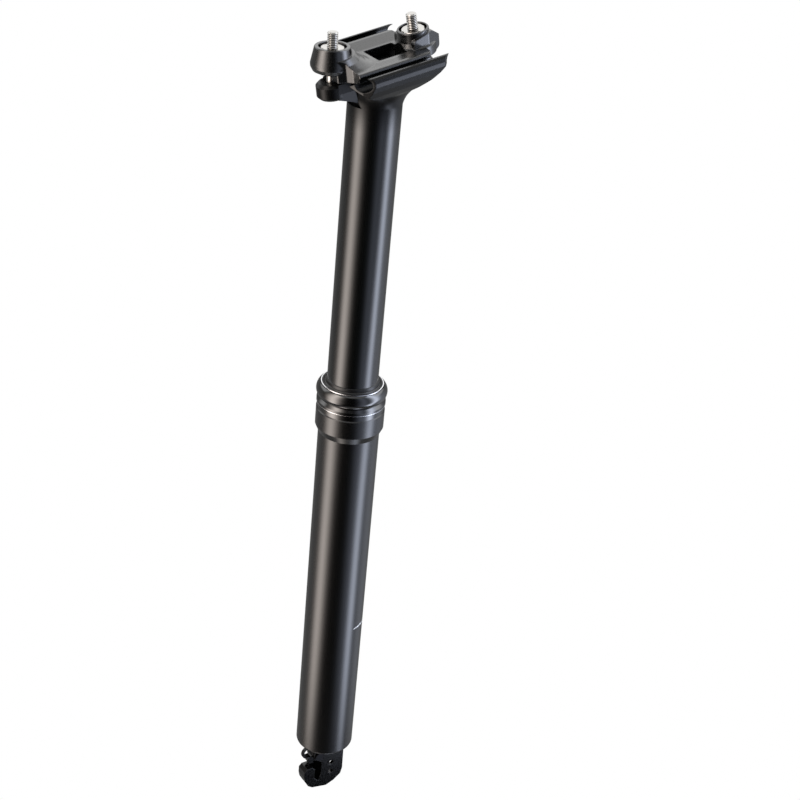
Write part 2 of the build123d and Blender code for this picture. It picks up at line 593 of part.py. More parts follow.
# Release pin through the rod
with BuildPart() as release_pin:
    revolve(turned(0, (0, foot_z + PIN_FOOT), (PIN_RADIUS - EDGE, foot_z + PIN_FOOT),
                   (PIN_RADIUS, foot_z + PIN_FOOT + EDGE), (PIN_RADIUS, post_z + PIN_SHOULDER),
                   (PIN_STEM_RADIUS, post_z + PIN_SHOULDER),
                   (PIN_STEM_RADIUS, post_z + PISTON_TOP + VALVE_LIFT_GAP),
                   (0, post_z + PISTON_TOP + VALVE_LIFT_GAP)), axis=Axis.Z)
release_pin.part.label = "release_pin"
export_step(release_pin.part, "parts/release_pin.step")

# Valve poppet on the pin's stem, closed on the piston
with BuildPart() as valve_poppet:
    revolve(turned(post_z, (PIN_STEM_RADIUS, PISTON_TOP - VALVE_SEAT_DEPTH + VALVE_LIFT_GAP),
                   (VALVE_BORE, PISTON_TOP - VALVE_SEAT_DEPTH + VALVE_LIFT_GAP),
                   (VALVE_SEAT_RADIUS, PISTON_TOP + VALVE_LIFT_GAP),
                   (VALVE_SEAT_RADIUS, PISTON_TOP + POPPET_HEAD), (0, PISTON_TOP + POPPET_HEAD),
                   (0, PISTON_TOP + VALVE_LIFT_GAP), (PIN_STEM_RADIUS, PISTON_TOP + VALVE_LIFT_GAP)),
            axis=Axis.Z)
valve_poppet.part.label = "valve_poppet"
export_step(valve_poppet.part, "parts/valve_poppet.step")


def bolt_ear(reach, outline, top, bottom):
    """Ear of the head round a clamp bolt: a slab that narrows downward, ended by a disc with rolled rims."""
    with BuildPart() as ear:
        with BuildSketch(clamp_plan):
            with Locations((reach / 2, 0)):
                Rectangle(abs(reach), 2 * EAR_HALF_WIDTH)
        extrude(amount=REACH, both=True)
        extrude(filled(clamp_side, outline), amount=EAR_HALF_WIDTH, both=True, mode=Mode.INTERSECT)
        cross = list(EAR_SECTION) + mirrored(reversed(EAR_SECTION))
        extrude(filled(clamp_cross, cross), amount=REACH, both=True, mode=Mode.INTERSECT)
        rim = EAR_HALF_WIDTH - EAR_EDGE
        disc = ((0, top), (rim, top), (EAR_HALF_WIDTH, top - EAR_EDGE),
                (EAR_HALF_WIDTH, bottom + EAR_EDGE), (rim, bottom), (0, bottom))
        revolve(filled(clamp_side, [(reach + r, n) for r, n in disc]),
                axis=Axis(clamp_side.from_local_coords((reach, 0, 0)), clamp_side.y_dir))
    return ear.part


# Inner post, forged in one with the head: tube, flare, trough and two bolt ears
with BuildPart() as stanchion:
    with BuildSketch(Plane.XZ):
        with BuildLine():
            Spline(*from_post(FLARE_POINTS), tangents=((0, 1), (1, 1)))
            Polyline((FLARE_POINTS[-1][0], post_z + FLARE_POINTS[-1][1]),
                     (FLARE_TOP_RADIUS, post_z + FLARE_TOP), (0, post_z + FLARE_TOP),
                     (0, post_z + FLARE_POINTS[0][1]), (stanchion_r, post_z + FLARE_POINTS[0][1]))
        make_face()
    revolve(axis=Axis.Z)
    extrude(filled(clamp_side, HEAD_BLOCK_OUTLINE), amount=HEAD_HALF_WIDTH, both=True, mode=Mode.INTERSECT)
    add(bolt_ear(FRONT_EAR_U, FRONT_EAR_OUTLINE, FRONT_EAR_TOP, FRONT_EAR_BOTTOM))
    add(bolt_ear(REAR_EAR_U, REAR_EAR_OUTLINE, REAR_EAR_TOP, REAR_EAR_BOTTOM))
    with BuildSketch(clamp_side):
        with Locations((ROCKER_U, ROCKER_LEVEL)):
            Circle(ROCKER_RADIUS + ROCKER_GAP)
        add(filled(Plane.XY, TROUGH_OUTLINE), mode=Mode.INTERSECT)
    extrude(amount=REACH, both=True, mode=Mode.SUBTRACT)
    with BuildSketch(Plane.XY.offset(post_z)):
        Circle(stanchion_r)
    extrude(amount=FLARE_POINTS[0][1])
    with BuildSketch(Plane.XY.offset(post_z - OVERRUN)):
        Circle(stanchion_bore_r)
    extrude(amount=STANCHION_BORE_TOP + OVERRUN, mode=Mode.SUBTRACT)
    revolve(ring(stanchion_r + OVERRUN, LOWER_BUSHING_BORE, post_z + LOWER_BUSHING_LOW,
                 post_z + LOWER_BUSHING_LOW + LOWER_BUSHING_LENGTH), axis=Axis.Z, mode=Mode.SUBTRACT)
    with BuildSketch(Plane.XY.offset(post_z + KEY_LOW)):
        with PolarLocations(KEY_ROOT_RADIUS, KEY_COUNT):
            Rectangle(stanchion_r, KEY_WIDTH, align=(Align.MIN, Align.CENTER))
    extrude(amount=KEY_LENGTH, mode=Mode.SUBTRACT)
    for plane, seat in ((front_bolt_side, FRONT_SEAT), (rear_bolt_side, REAR_SEAT)):
        hole = filled(plane, ((0, seat - REACH), (COUNTERBORE_RADIUS, seat - REACH),
                              (COUNTERBORE_RADIUS, seat), (EAR_HOLE_RADIUS, seat), (EAR_HOLE_RADIUS, 0),
                              (0, 0)))
        revolve(hole, axis=along(plane), mode=Mode.SUBTRACT)
stanchion.part.label = "stanchion"
export_step(stanchion.part, "parts/stanchion.step")

# Lower guide bushing round the foot of the inner post
with BuildPart() as lower_bushing:
    revolve(ring(tube_bore_r - RUN_GAP, LOWER_BUSHING_BORE, post_z + LOWER_BUSHING_LOW,
                 post_z + LOWER_BUSHING_LOW + LOWER_BUSHING_LENGTH), axis=Axis.Z)
    with BuildSketch(Plane.XY.offset(post_z + LOWER_BUSHING_LOW)):
        with Locations((0, stanchion_r)):
            Rectangle(BUSHING_SPLIT, stanchion_r)
    extrude(amount=LOWER_BUSHING_LENGTH, mode=Mode.SUBTRACT)
lower_bushing.part.label = "lower_bushing"
export_step(lower_bushing.part, "parts/lower_bushing.step")

# Brass keys that stop the inner post from turning
with BuildPart() as guide_keys:
    with BuildSketch(Plane.XY.offset(post_z + KEY_LOW)):
        with PolarLocations(KEY_ROOT_RADIUS, KEY_COUNT):
            Rectangle(KEY_TIP_RADIUS - KEY_ROOT_RADIUS, KEY_WIDTH, align=(Align.MIN, Align.CENTER))
    extrude(amount=KEY_LENGTH)
guide_keys.part.label = "guide_keys"
export_step(guide_keys.part, "parts/guide_keys.step")

# Cartridge cylinder with its end cap, gas valve, gland, rod seal, retainer and top-out bumper
with BuildPart() as cartridge_cylinder:
    revolve(ring(CYLINDER_RADIUS, CYLINDER_BORE, post_z + CYLINDER_LOW, post_z + CYLINDER_TOP), axis=Axis.Z)
cartridge_cylinder.part.label = "cartridge_cylinder"
export_step(cartridge_cylinder.part, "parts/cartridge_cylinder.step")

with BuildPart() as end_cap:
    revolve(turned(post_z, (GAS_VALVE_RADIUS, END_CAP_LOW), (CYLINDER_BORE, END_CAP_LOW),
                   (CYLINDER_BORE, CYLINDER_TOP), (stanchion_bore_r, CYLINDER_TOP),
                   (stanchion_bore_r, END_CAP_TOP - EDGE), (stanchion_bore_r - EDGE, END_CAP_TOP),
                   (GAS_VALVE_RADIUS, END_CAP_TOP)), axis=Axis.Z)
end_cap.part.label = "end_cap"
export_step(end_cap.part, "parts/end_cap.step")

with BuildPart() as gas_valve:
    revolve(turned(post_z, (0, GAS_VALVE_LOW), (GAS_VALVE_RADIUS, GAS_VALVE_LOW),
                   (GAS_VALVE_RADIUS, END_CAP_TOP), (GAS_CAP_RADIUS, END_CAP_TOP),
                   (GAS_CAP_RADIUS, GAS_VALVE_TOP - EDGE), (GAS_CAP_RADIUS - EDGE, GAS_VALVE_TOP),
                   (0, GAS_VALVE_TOP)), axis=Axis.Z)
gas_valve.part.label = "gas_valve"
export_step(gas_valve.part, "parts/gas_valve.step")


def rod_seal_section():
    """Half section of the O-ring that runs on the rod."""
    return o_ring(ROD_RADIUS + SEAL_GAP + SEAL_SECTION / 2, post_z + rod_seal_height, SEAL_SECTION)


with BuildPart() as gland:
    revolve(ring(CYLINDER_BORE, ROD_RADIUS + RUN_GAP, post_z + CYLINDER_LOW, post_z + GLAND_TOP),
            axis=Axis.Z)
    revolve(rod_seal_section(), axis=Axis.Z, mode=Mode.SUBTRACT)
gland.part.label = "gland"
export_step(gland.part, "parts/gland.step")

with BuildPart() as rod_seal:
    revolve(rod_seal_section(), axis=Axis.Z)
rod_seal.part.label = "rod_seal"
export_step(rod_seal.part, "parts/rod_seal.step")

with BuildPart() as cartridge_retainer:
    revolve(ring(stanchion_bore_r, RETAINER_BORE, post_z, post_z + CYLINDER_LOW), axis=Axis.Z)
    with BuildSketch(Plane.XY.offset(post_z)):
        with PolarLocations(SPANNER_PITCH, 2):
            Circle(SPANNER_RADIUS)
    extrude(amount=SPANNER_DEPTH, mode=Mode.SUBTRACT)
cartridge_retainer.part.label = "cartridge_retainer"
export_step(cartridge_retainer.part, "parts/cartridge_retainer.step")

with BuildPart() as top_out_bumper:
    revolve(ring(BUMPER_RADIUS, BUMPER_BORE, post_z + GLAND_TOP, post_z + BUMPER_TOP, EDGE), axis=Axis.Z)
top_out_bumper.part.label = "top_out_bumper"
export_step(top_out_bumper.part, "parts/top_out_bumper.step")

# Floating piston between the oil and the gas
with BuildPart() as floating_piston:
    revolve(turned(post_z, (0, FLOATER_LOW), (CYLINDER_BORE - RUN_GAP, FLOATER_LOW),
                   (CYLINDER_BORE - RUN_GAP, FLOATER_LOW + FLOATER_LENGTH),
                   (FLOATER_POCKET_RADIUS, FLOATER_LOW + FLOATER_LENGTH),
                   (FLOATER_POCKET_RADIUS, FLOATER_LOW + FLOATER_LENGTH - FLOATER_POCKET_DEPTH),
                   (0, FLOATER_LOW + FLOATER_LENGTH - FLOATER_POCKET_DEPTH)), axis=Axis.Z)
    revolve(sliding_seal(floating_seal_height), axis=Axis.Z, mode=Mode.SUBTRACT)
floating_piston.part.label = "floating_piston"
export_step(floating_piston.part, "parts/floating_piston.step")

with BuildPart() as floating_seal:
    revolve(sliding_seal(floating_seal_height), axis=Axis.Z)
floating_seal.part.label = "floating_seal"
export_step(floating_seal.part, "parts/floating_seal.step")

# Cam lever: nose under the release pin behind, tail below, and a thinner hook for the cable's end in front
with BuildPart() as cam_lever:
    with BuildSketch(Plane.XZ.offset(-LEVER_HALF_WIDTH)):
        with Locations((PIVOT_X, foot_z + PIVOT_Z)):
            Circle(LEVER_BOSS_RADIUS)
        with Locations((CAM_NOSE_X, foot_z + CAM_NOSE_Z)):
            Circle(CAM_NOSE_RADIUS)
        with Locations((TAIL_X, foot_z + TAIL_Z)):
            Circle(TAIL_RADIUS)
        with BuildLine():
            Polyline(*from_foot(((CAM_NOSE_X, CAM_NOSE_Z + CAM_NECK_RADIUS),
                                 (PIVOT_X, PIVOT_Z + HOOK_ARM_RADIUS), (PIVOT_X, PIVOT_Z - HOOK_ARM_RADIUS),
                                 (CAM_NOSE_X, CAM_NOSE_Z - CAM_NECK_RADIUS))), close=True)
        make_face()
        with BuildLine():
            Polyline(*from_foot(((PIVOT_X - LEVER_BOSS_RADIUS, PIVOT_Z),
                                 (HOOK_X + HOOK_ARM_RADIUS, HOOK_Z), (TAIL_X + TAIL_RADIUS, TAIL_Z),
                                 (TAIL_X - TAIL_RADIUS, TAIL_Z))), close=True)
        make_face()
    extrude(amount=2 * LEVER_HALF_WIDTH)
    with BuildSketch(Plane.XZ.offset(-HOOK_HALF_WIDTH)):
        with Locations((HOOK_X, foot_z + HOOK_Z)):
            Circle(HOOK_RADIUS)
        with BuildLine():
            Polyline(*from_foot(((PIVOT_X, PIVOT_Z + HOOK_ARM_RADIUS), (HOOK_X, HOOK_Z + HOOK_ARM_RADIUS),
                                 (HOOK_X, HOOK_Z - HOOK_ARM_RADIUS), (PIVOT_X, PIVOT_Z - HOOK_ARM_RADIUS))),
                     close=True)
        make_face()
    extrude(amount=2 * HOOK_HALF_WIDTH)
    with BuildSketch(Plane.XZ.offset(-LEVER_HALF_WIDTH)):
        with Locations((PIVOT_X, foot_z + PIVOT_Z)):
            Circle(PIVOT_RADIUS + RUN_GAP)
        with Locations((HOOK_X, foot_z + HOOK_Z)):
            Circle(HOOK_POCKET_RADIUS)
    extrude(amount=2 * LEVER_HALF_WIDTH, mode=Mode.SUBTRACT)
cam_lever.part.label = "cam_lever"
export_step(cam_lever.part, "parts/cam_lever.step")

# Pivot pin through both cheeks, with its head on the left and a clip on the right
pivot_origin = (PIVOT_X, 0, foot_z + PIVOT_Z)
pivot_side = Plane(origin=pivot_origin, x_dir=(1, 0, 0), z_dir=(0, 0, 1))
clip_near = -CHEEK_OUTER
clip_far = clip_near - CLIP_THICKNESS
with BuildPart() as pivot_pin:
    revolve(filled(pivot_side, ((0, -PIVOT_TAIL), (PIVOT_RADIUS, -PIVOT_TAIL), (PIVOT_RADIUS, clip_far),
                                (CLIP_GROOVE_RADIUS, clip_far), (CLIP_GROOVE_RADIUS, clip_near),
                                (PIVOT_RADIUS, clip_near), (PIVOT_RADIUS, CHEEK_OUTER),
                                (PIVOT_HEAD_RADIUS, CHEEK_OUTER),
                                (PIVOT_HEAD_RADIUS, CHEEK_OUTER + PIVOT_HEAD_HEIGHT),
                                (0, CHEEK_OUTER + PIVOT_HEAD_HEIGHT))), axis=along(pivot_side))
pivot_pin.part.label = "pivot_pin"
export_step(pivot_pin.part, "parts/pivot_pin.step")

with BuildPart() as pivot_clip:
    with BuildSketch(Plane.XZ.offset(-clip_near)):
        with Locations((PIVOT_X, foot_z + PIVOT_Z)):
            Circle(CLIP_RADIUS)
            Circle(CLIP_GROOVE_RADIUS, mode=Mode.SUBTRACT)
        with Locations((PIVOT_X, foot_z + PIVOT_Z - CLIP_RADIUS)):
            Rectangle(CLIP_MOUTH, 2 * CLIP_RADIUS, mode=Mode.SUBTRACT)
    extrude(amount=CLIP_THICKNESS)
pivot_clip.part.label = "pivot_clip"
export_step(pivot_clip.part, "parts/pivot_clip.step")


def rail_grooves():
    """Both saddle rails' grooves, as solids to cut away."""
    with BuildPart() as grooves:
        with BuildSketch(clamp_cross.offset(-REACH)):
            with Locations((rail_y, RAIL_LEVEL), (-rail_y, RAIL_LEVEL)):
                Circle(RAIL_GROOVE_RADIUS)
        extrude(amount=2 * REACH)
    return grooves.part


def cradle_wings():
    """Both rail channels of the cradle with the flanks below them, their ends rounded off outward."""
    with BuildPart() as wings:
        for section in (CRADLE_WING_SECTION, CRADLE_FLANK_SECTION):
            for half in (section, mirrored(section)):
                extrude(filled(clamp_cross, half), amount=REACH, both=True)
        extrude(filled(clamp_plan, both_halves(CRADLE_PLAN), CRADLE_CORNER), amount=REACH, both=True,
                mode=Mode.INTERSECT)
    return wings.part


# Lower clamp cradle: two rail channels joined by a barrel that rocks in the head's trough
with BuildPart() as lower_cradle:
    for half in (CRADLE_HULL_SECTION, mirrored(CRADLE_HULL_SECTION)):
        extrude(filled(clamp_cross, half), amount=REACH, both=True)
    extrude(filled(clamp_side, CRADLE_HULL_SIDE), amount=REACH, both=True, mode=Mode.INTERSECT)
    add(cradle_wings())
    with BuildSketch(clamp_side):
        with Locations((ROCKER_U, ROCKER_LEVEL)):
            Circle(ROCKER_RADIUS)
    extrude(amount=REACH, both=True, mode=Mode.INTERSECT)
    add(rail_grooves(), mode=Mode.SUBTRACT)
    with BuildSketch(clamp_plan):
        with Locations(((CRADLE_WINDOW_REAR + CRADLE_WINDOW_FRONT) / 2, 0)):
            Rectangle(CRADLE_WINDOW_FRONT - CRADLE_WINDOW_REAR, 2 * CRADLE_WINDOW_HALF_WIDTH)
    extrude(amount=REACH, both=True, mode=Mode.SUBTRACT)
lower_cradle.part.label = "lower_cradle"
export_step(lower_cradle.part, "parts/lower_cradle.step")


def nut_cup(plane):
    """Space round a clamp nut, closed below by a seat domed about the rocker's level on the bolt."""
    with BuildPart() as cup:
        revolve(filled(plane, ((0, -REACH), (NUT_CUP_RADIUS, -REACH), (NUT_CUP_RADIUS, 0), (0, 0))),
                axis=along(plane))
        with Locations(plane.from_local_coords((0, rocker_height(plane), 0))):
            Sphere(rocker_height(plane) + NUT_HEIGHT, mode=Mode.INTERSECT)
        revolve(filled(plane, ((0, 0), (NUT_CUP_RADIUS, 0), (NUT_CUP_RADIUS, REACH), (0, REACH))),
                axis=along(plane))
    return cup.part


def rear_nose():
    """Rounded nose that reaches back from the rear boss."""
    with BuildPart() as nose:
        extrude(filled(clamp_side, REAR_NOSE_SIDE, NOSE_CORNER), amount=REACH, both=True)
        extrude(filled(clamp_plan, both_halves(REAR_NOSE_PLAN), NOSE_CORNER), amount=REACH, both=True,
                mode=Mode.INTERSECT)
    return nose.part


# Upper clamp: windowed plate over the rails, a pad and a cupped boss in front, a nosed boss behind
with BuildPart() as upper_clamp:
    for half in (PLATE_SECTION, mirrored(PLATE_SECTION)):
        extrude(filled(clamp_cross, half), amount=REACH, both=True)
    revolve(filled(clamp_side, [(FRONT_NUT[0] + r, n) for r, n in FRONT_PAD]),
            axis=Axis(clamp_side.from_local_coords((FRONT_NUT[0], 0, 0)), clamp_side.y_dir))
    extrude(filled(clamp_plan, both_halves(PLATE_PLAN), PLATE_CORNER), amount=REACH, both=True,
            mode=Mode.INTERSECT)
    revolve(filled(front_bolt_side, FRONT_BOSS), axis=along(front_bolt_side))
    revolve(filled(rear_bolt_side, REAR_BOSS), axis=along(rear_bolt_side))
    add(rear_nose())
    with BuildSketch(clamp_plan):
        with Locations(((WINDOW_REAR + WINDOW_FRONT) / 2, 0)):
            RectangleRounded(WINDOW_FRONT - WINDOW_REAR, 2 * WINDOW_HALF_WIDTH, WINDOW_ROUND)
    extrude(amount=REACH, both=True, mode=Mode.SUBTRACT)
    for plane in (front_bolt_side, rear_bolt_side):
        add(nut_cup(plane), mode=Mode.SUBTRACT)
        revolve(filled(plane, ((0, -REACH), (CLAMP_BOLT_HOLE, -REACH), (CLAMP_BOLT_HOLE, 0), (0, 0))),
                axis=along(plane), mode=Mode.SUBTRACT)
    add(rail_grooves(), mode=Mode.SUBTRACT)
upper_clamp.part.label = "upper_clamp"
export_step(upper_clamp.part, "parts/upper_clamp.step")


def clamp_bolt(plane, stud, seat):
    """Socket-head bolt pointing up through an ear, its thread running out above the nut."""
    head_top = seat - WASHER_THICKNESS
    thread_top = stud - BOLT_END_CHAMFER
    points = [(0, stud), (BOLT_RADIUS - BOLT_END_CHAMFER, stud)]
    points += thread_steps(thread_top - THREAD_LENGTH, thread_top)
    points += [(BOLT_RADIUS, head_top), (BOLT_HEAD_RADIUS, head_top),
               (BOLT_HEAD_RADIUS, head_top - BOLT_HEAD_HEIGHT + EDGE),
               (BOLT_HEAD_RADIUS - EDGE, head_top - BOLT_HEAD_HEIGHT), (0, head_top - BOLT_HEAD_HEIGHT)]
    with BuildPart() as bolt:
        revolve(filled(plane, points), axis=along(plane))
        key_plane = Plane(origin=plane.from_local_coords((0, head_top - BOLT_HEAD_HEIGHT, 0)),
                          x_dir=(0, 1, 0), z_dir=plane.y_dir)
        with BuildSketch(key_plane):
            RegularPolygon(HEX_KEY_RADIUS, 6)
        extrude(amount=HEX_DEPTH, mode=Mode.SUBTRACT)
    return bolt.part


def clamp_washer(plane, seat):
    """Washer between a bolt's head and its ear."""
    with BuildPart() as washer:
        revolve(filled(plane, ((WASHER_BORE, seat - WASHER_THICKNESS),
                               (WASHER_RADIUS, seat - WASHER_THICKNESS), (WASHER_RADIUS, seat),
                               (WASHER_BORE, seat))), axis=along(plane))
    return washer.part


def clamp_nut(plane):
    """Round nut with four spanner notches and an underside domed about the rocker's level on its bolt."""
    with BuildPart() as nut:
        revolve(filled(plane, ((BOLT_RADIUS + NUT_BORE_GAP, -NUT_HEIGHT), (NUT_RADIUS, -NUT_HEIGHT),
                               (NUT_RADIUS, -NUT_EDGE), (NUT_RADIUS - NUT_EDGE, 0),
                               (BOLT_RADIUS + NUT_BORE_GAP, 0))), axis=along(plane))
        with Locations(plane.from_local_coords((0, rocker_height(plane), 0))):
            Sphere(rocker_height(plane) + NUT_HEIGHT - SEAT_GAP, mode=Mode.INTERSECT)
        with BuildSketch(Plane(origin=plane.origin, x_dir=(0, 1, 0), z_dir=plane.y_dir)):
            with PolarLocations(NUT_RADIUS, NUT_NOTCH_COUNT):
                Rectangle(2 * NUT_NOTCH_DEPTH, NUT_NOTCH_WIDTH)
        extrude(amount=-NUT_NOTCH_DEPTH, mode=Mode.SUBTRACT)
    return nut.part


with BuildPart() as front_bolt:
    add(clamp_bolt(front_bolt_side, FRONT_STUD, FRONT_SEAT))
front_bolt.part.label = "front_bolt"
export_step(front_bolt.part, "parts/front_bolt.step")

with BuildPart() as rear_bolt:
    add(clamp_bolt(rear_bolt_side, REAR_STUD, REAR_SEAT))
rear_bolt.part.label = "rear_bolt"
export_step(rear_bolt.part, "parts/rear_bolt.step")

with BuildPart() as front_washer:
    add(clamp_washer(front_bolt_side, FRONT_SEAT))
front_washer.part.label = "front_washer"
export_step(front_washer.part, "parts/front_washer.step")

with BuildPart() as rear_washer:
    add(clamp_washer(rear_bolt_side, REAR_SEAT))
rear_washer.part.label = "rear_washer"
export_step(rear_washer.part, "parts/rear_washer.step")

with BuildPart() as front_nut:
    add(clamp_nut(front_bolt_side))
front_nut.part.label = "front_nut"
export_step(front_nut.part, "parts/front_nut.step")

with BuildPart() as rear_nut:
    add(clamp_nut(rear_bolt_side))
rear_nut.part.label = "rear_nut"
export_step(rear_nut.part, "parts/rear_nut.step")
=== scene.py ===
# %% [markdown]
# # A dropper seatpost in a white studio
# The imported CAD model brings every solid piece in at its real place, in metres. This file gives each piece
# the finish of the real one, adds what is only paint or too fine for the solids, lights it all like a product
# photograph and sets the camera where the photographer stood.

# %% Load the frame
from math import atan2, cos, pi, radians, sin

import bpy
from mathutils import Matrix, Vector

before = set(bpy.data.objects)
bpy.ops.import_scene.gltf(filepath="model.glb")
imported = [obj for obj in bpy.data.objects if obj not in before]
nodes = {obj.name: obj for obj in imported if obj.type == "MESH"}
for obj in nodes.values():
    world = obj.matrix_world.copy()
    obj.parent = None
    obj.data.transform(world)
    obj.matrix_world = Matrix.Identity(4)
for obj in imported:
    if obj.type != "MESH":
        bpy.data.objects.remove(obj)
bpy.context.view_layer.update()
MM = 0.001

# %% [markdown]
# ## Small helpers for materials
# A material is a little network of nodes. A few helpers keep each network short to read. The first turns a
# hex colour into the linear numbers that Blender mixes with, and the next adds a node with its inputs set. A
# new material measures its pattern in millimetres of the real object, so that grain has its true size.

# %% Material helpers
def linear(hex_colour):
    """Linear RGBA of an sRGB colour such as "1a1a1a"."""
    channels = [int(hex_colour[i:i + 2], 16) / 255 for i in (0, 2, 4)]
    return [c / 12.92 if c <= 0.04045 else ((c + 0.055) / 1.055) ** 2.4 for c in channels] + [1.0]


def add_node(tree, kind, settings=None, **inputs):
    """Adds a node, sets its own settings, and sets or links its inputs by name or number."""
    node = tree.nodes.new(kind)
    for name, value in (settings or {}).items():
        setattr(node, name, value)
    for name, value in inputs.items():
        key = int(name[1:]) if name[0] == "_" else name.replace("__", " ")
        if isinstance(value, bpy.types.NodeSocket):
            tree.links.new(value, node.inputs[key])
        else:
            node.inputs[key].default_value = value
    return node


def math(tree, operation, *values):
    """One arithmetic node; returns its result."""
    inputs = {f"_{i}": value for i, value in enumerate(values)}
    return add_node(tree, "ShaderNodeMath", {"operation": operation}, **inputs).outputs[0]


def new_material(name):
    """A material with an empty network, its Principled shader and the object's own place in millimetres."""
    material = bpy.data.materials.new(name)
    material.use_nodes = True
    tree = material.node_tree
    tree.nodes.clear()
    shader = add_node(tree, "ShaderNodeBsdfPrincipled")
    output = add_node(tree, "ShaderNodeOutputMaterial")
    tree.links.new(shader.outputs["BSDF"], output.inputs["Surface"])
    place = add_node(tree, "ShaderNodeTexCoord").outputs["Object"]
    scaled = add_node(tree, "ShaderNodeVectorMath", {"operation": "SCALE"}, _0=place, Scale=1 / MM)
    return material, tree, shader, scaled.outputs["Vector"]


def grain(tree, place, size_mm, stretch=(1, 1, 1), detail=3.0):
    """Noise whose blobs are about size_mm across, drawn out along an axis where stretch is above 1."""
    scale = [1 / (size_mm * s) for s in stretch]
    mapped = add_node(tree, "ShaderNodeMapping", Vector=place, Scale=scale)
    return add_node(tree, "ShaderNodeTexNoise", Vector=mapped.outputs["Vector"], Scale=1.0, Detail=detail)


print("a mid grey in linear numbers:", [round(c, 3) for c in linear("808080")])

# %% [markdown]
# ## Patterns, masks and edges
# The next helpers turn a number into something to see: a colour, a roughness, a mask with a soft limit, a
# bump or a rounded edge. A mask is 1 inside a band and 0 outside it, and lets one shader lie over another.

# %% Pattern helpers
def mixed_colour(tree, factor, hex_colour, other):
    """Carries a 0 to 1 value over to the colours between a hex colour and another one in linear numbers.

    The mix node's two colour inputs are its numbers 6 and 7, and its colour output is number 2.
    """
    mix = add_node(tree, "ShaderNodeMix", {"data_type": "RGBA"}, _0=factor)
    mix.inputs[6].default_value = linear(hex_colour)
    mix.inputs[7].default_value = other
    return mix.outputs[2]


def brighter(hex_colour, times):
    """Linear RGBA of a colour with its light multiplied."""
    return [c * times for c in linear(hex_colour)[:3]] + [1.0]


def between(tree, factor, low, high):
    """Carries a 0 to 1 value over to a range."""
    node = add_node(tree, "ShaderNodeMapRange", Value=factor, **{"To__Min": low, "To__Max": high})
    return node.outputs["Result"]


def below(tree, value, limit, soft):
    """1 where value is below limit, fading to 0 over soft on both sides of it."""
    node = add_node(tree, "ShaderNodeMapRange", Value=value,
                    **{"From__Min": limit - soft, "From__Max": limit + soft, "To__Min": 1.0, "To__Max": 0.0})
    return node.outputs["Result"]


def band(tree, value, middle, width, soft):
    """1 inside a band of value, 0 outside it."""
    return below(tree, math(tree, "ABSOLUTE", math(tree, "SUBTRACT", value, middle)), width / 2, soft)


def overlaid(tree, mask, under, over):
    """Shows the second shader where the mask is 1, as the material's surface."""
    join = add_node(tree, "ShaderNodeMixShader", _0=mask, _1=under.outputs[0], _2=over.outputs[0])
    output = next(n for n in tree.nodes if n.type == "OUTPUT_MATERIAL")
    tree.links.new(join.outputs[0], output.inputs["Surface"])


def rough_and_bump(tree, shader, factor, rough, depth_mm, normal=None):
    """Lets a pattern vary the roughness and raise the surface by up to depth_mm."""
    tree.links.new(between(tree, factor, *rough), shader.inputs["Roughness"])
    bump = add_node(tree, "ShaderNodeBump", Strength=1.0, Distance=depth_mm * MM, Height=factor)
    if normal is not None:
        tree.links.new(normal, bump.inputs["Normal"])
    tree.links.new(bump.outputs["Normal"], shader.inputs["Normal"])


def rounded_edges(tree, radius_mm):
    """Normals that turn softly over each sharp edge, as a tumbled or painted edge does, or none for 0."""
    if radius_mm == 0:
        return None
    return add_node(tree, "ShaderNodeBevel", {"samples": 4}, Radius=radius_mm * MM).outputs["Normal"]


print("pattern helpers ready, lengths in units of", MM, "m")

# %% [markdown]
# ## Black anodised aluminium
# Anodising grows a hard clear oxide on the metal, and a black dye fills its pores. What the eye sees is the
# mirror image in the oxide's skin over a body that swallows the rest, so the shader is a nearly black one
# with the oxide's index of refraction. The grain is the fine tooth that the metal had before it was dyed, and
# a faint cloud keeps the dye from looking like flat paint.

# %% Anodised materials
OXIDE_INDEX = 1.7
CLOUD_IN_GRAINS = 40
CLOUD_BRIGHTER = 1.3


def anodised(name, colour, rough, grain_mm, depth_mm, stretch=(1, 1, 1), index=OXIDE_INDEX, edge_mm=0):
    """Dyed aluminium with a fine grain, a faint cloud in the dye and edges rounded by edge_mm."""
    material, tree, shader, place = new_material(name)
    cloud = grain(tree, place, CLOUD_IN_GRAINS * grain_mm)
    dye = mixed_colour(tree, cloud.outputs["Fac"], colour, brighter(colour, CLOUD_BRIGHTER))
    tree.links.new(dye, shader.inputs["Base Color"])
    shader.inputs["IOR"].default_value = index
    fine = grain(tree, place, grain_mm, stretch)
    rough_and_bump(tree, shader, fine.outputs["Fac"], rough, depth_mm, rounded_edges(tree, edge_mm))
    return material, tree, shader, place


print("oxide index:", OXIDE_INDEX)

# %% [markdown]
# ## The outer tube and its painted line
# The outer tube was blasted before it was dyed, so it is satin. A short white arc is printed on it where it
# must at least enter the bicycle's frame. It is paint of no thickness, so it lives in the tube's material: a
# mask that is 1 inside a narrow band of height and inside a range of angle round the axis, and fades out at
# its edges.

# %% Tube material with its line
LINE_WIDTH_MM = 0.75
LINE_FADE_MM = 0.05
LINE_FROM = radians(103)
LINE_TO = radians(146)
LINE_END_FADE = 0.01


